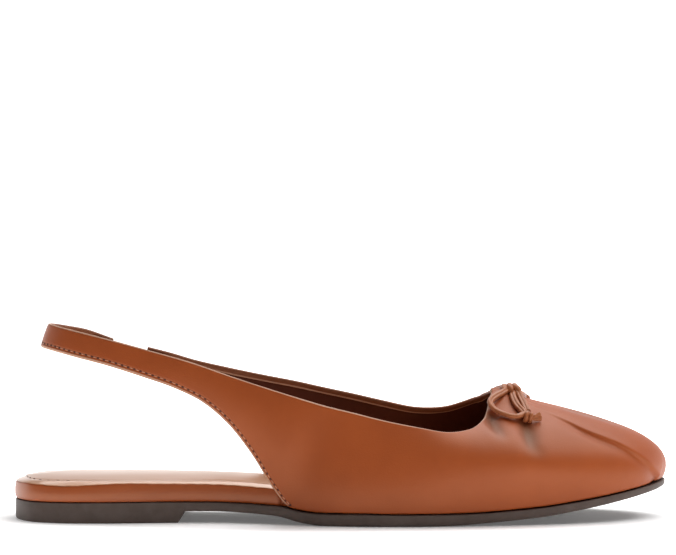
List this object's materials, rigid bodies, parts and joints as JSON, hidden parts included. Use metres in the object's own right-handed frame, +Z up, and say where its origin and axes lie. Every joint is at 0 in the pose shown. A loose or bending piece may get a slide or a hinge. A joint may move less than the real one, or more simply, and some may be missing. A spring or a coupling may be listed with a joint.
{
  "type": "sling back flat",
  "caption": "Right sling back ballet flat: low moulded heel, open back with an elasticated leather strap, gathered vamp with a small cord bow, padded footbed.",
  "frame": {"origin": "on the floor, under the middle of the shoe's bounding box", "axes": "+X towards the toe, +Z up, -Y to the outer side of this right shoe, which stands on its heel and forefoot"},
  "size_m": [0.248, 0.081, 0.0737],
  "materials": {
    "sole_rubber": "moulded warm grey-brown rubber, satin",
    "upper_leather": "smooth tan leather with a soft gloss",
    "sock_leather": "smooth lighter tan lining leather",
    "cord_leather": "rolled leather cord, soft gloss",
    "elastic": "woven elastic, matt"
  },
  "bodies": {
    "root": {"outsole": "sole_rubber", "footbed": "upper_leather", "sock": "sock_leather", "upper": "upper_leather", "elastic_gore": "elastic", "bow_knot": "cord_leather", "bow_loop_outer": "cord_leather", "bow_loop_inner": "cord_leather", "bow_end_outer": "cord_leather", "bow_end_inner": "cord_leather", "end_knot_outer": "cord_leather", "end_knot_inner": "cord_leather"}
  },
  "joints": []
}
